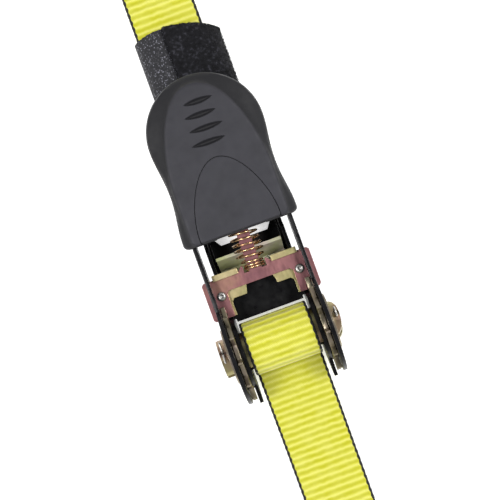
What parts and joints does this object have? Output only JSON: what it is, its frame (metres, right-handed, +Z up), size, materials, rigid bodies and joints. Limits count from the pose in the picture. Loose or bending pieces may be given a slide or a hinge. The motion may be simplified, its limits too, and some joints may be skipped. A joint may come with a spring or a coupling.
{
  "type": "ratchet tie down",
  "caption": "Webbing tie down with a ratchet buckle: padded handle, sprung drive and lock pawls, toothed spool, folded long strap, short strap with storage wrap, and wire hooks.",
  "frame": {"origin": "centre of the underside of the base frame's web, on the resting surface", "axes": "+Z up from the resting surface; +Y along the object, from the ratchet's axle towards the handle tip and the short strap; +X across the webbing, along the axle"},
  "size_m": [0.0452, 0.528, 0.0384],
  "materials": {
    "black_steel": "black coated pressed steel",
    "grey_steel": "plain zinc-plated steel with dark sheared edges",
    "pink_zinc": "yellow chromate zinc with a pink cast",
    "gold_zinc": "yellow chromate zinc, gold and olive",
    "spring_steel": "bright copper-toned spring wire",
    "grip": "matte moulded grip, dark grey",
    "webbing": "fluorescent yellow woven webbing with black edge threads",
    "wrap_tape": "black hook-and-loop tape",
    "hook_coating": "black vinyl-dipped steel wire"
  },
  "bodies": {
    "base": {"base_frame": "black_steel", "strap_anchor_bolt": "gold_zinc", "strap_anchor_nut": "gold_zinc", "lock_spring_bracket": "gold_zinc", "bracket_rivet_left": "grey_steel", "bracket_rivet_right": "grey_steel", "lock_pawl_spring": "spring_steel", "short_strap": "webbing", "storage_wrap_hook_tape": "wrap_tape", "storage_wrap_loop_tape": "wrap_tape", "long_strap_run": "webbing", "long_strap_hank": "webbing", "hank_tie": "wrap_tape", "long_strap_tail": "webbing"},
    "handle": {"handle_plate_left": "grey_steel", "handle_plate_right": "grey_steel", "handle_crossbar": "grey_steel", "handle_spacer": "grey_steel", "cover_top": "grip", "cover_bottom": "grip", "cover_panel": "grip", "cover_screw_left": "grey_steel", "cover_screw_right": "grey_steel", "drive_pawl_spring": "spring_steel"},
    "drive_pawl": {"drive_pawl_plate": "pink_zinc", "drive_pawl_backing": "gold_zinc", "pawl_rivet_left": "grey_steel", "pawl_rivet_right": "grey_steel", "release_pull_tab": "pink_zinc", "pull_tab_rivet": "grey_steel"},
    "lock_pawl": {"lock_pawl_plate": "black_steel"},
    "spool": {"mandrel_front": "gold_zinc", "mandrel_rear": "gold_zinc", "ratchet_gear_left": "gold_zinc", "ratchet_gear_right": "gold_zinc", "axle_washer_left": "gold_zinc", "axle_washer_right": "gold_zinc", "cotter_pin_left": "grey_steel", "cotter_pin_right": "grey_steel", "wound_strap": "webbing"},
    "short_hook": {"short_hook": "hook_coating"},
    "long_hook": {"long_hook": "hook_coating"}
  },
  "joints": [
    {"name": "handle_pivot", "type": "hinge", "parent": "base", "child": "handle", "pos_m": [0, -0.029, 0.02], "axis": [1, 0, 0], "range_deg": [0, 180]},
    {"name": "drive_pawl_slide", "type": "slide", "parent": "handle", "child": "drive_pawl", "axis": [0, 1, 0], "range_m": [0, 0.0055], "stiffness_N_per_m": 600, "springref_m": -0.004, "deforming": ["drive_pawl_spring"]},
    {"name": "spool_spin", "type": "hinge", "parent": "base", "child": "spool", "pos_m": [0, -0.029, 0.02], "axis": [1, 0, 0], "continuous": true},
    {"name": "lock_pawl_slide", "type": "slide", "parent": "base", "child": "lock_pawl", "axis": [0, 1, 0], "range_m": [0, 0.0042], "stiffness_N_per_m": 400, "springref_m": -0.003, "deforming": ["lock_pawl_spring"]},
    {"name": "short_hook_swing", "type": "hinge", "parent": "base", "child": "short_hook", "pos_m": [0, 0.157, 0.0044], "axis": [1, 0, 0], "range_deg": [0, 100]},
    {"name": "long_hook_swing", "type": "hinge", "parent": "base", "child": "long_hook", "pos_m": [0, -0.276, 0.0044], "axis": [-1, 0, 0], "range_deg": [0, 100]}
  ]
}
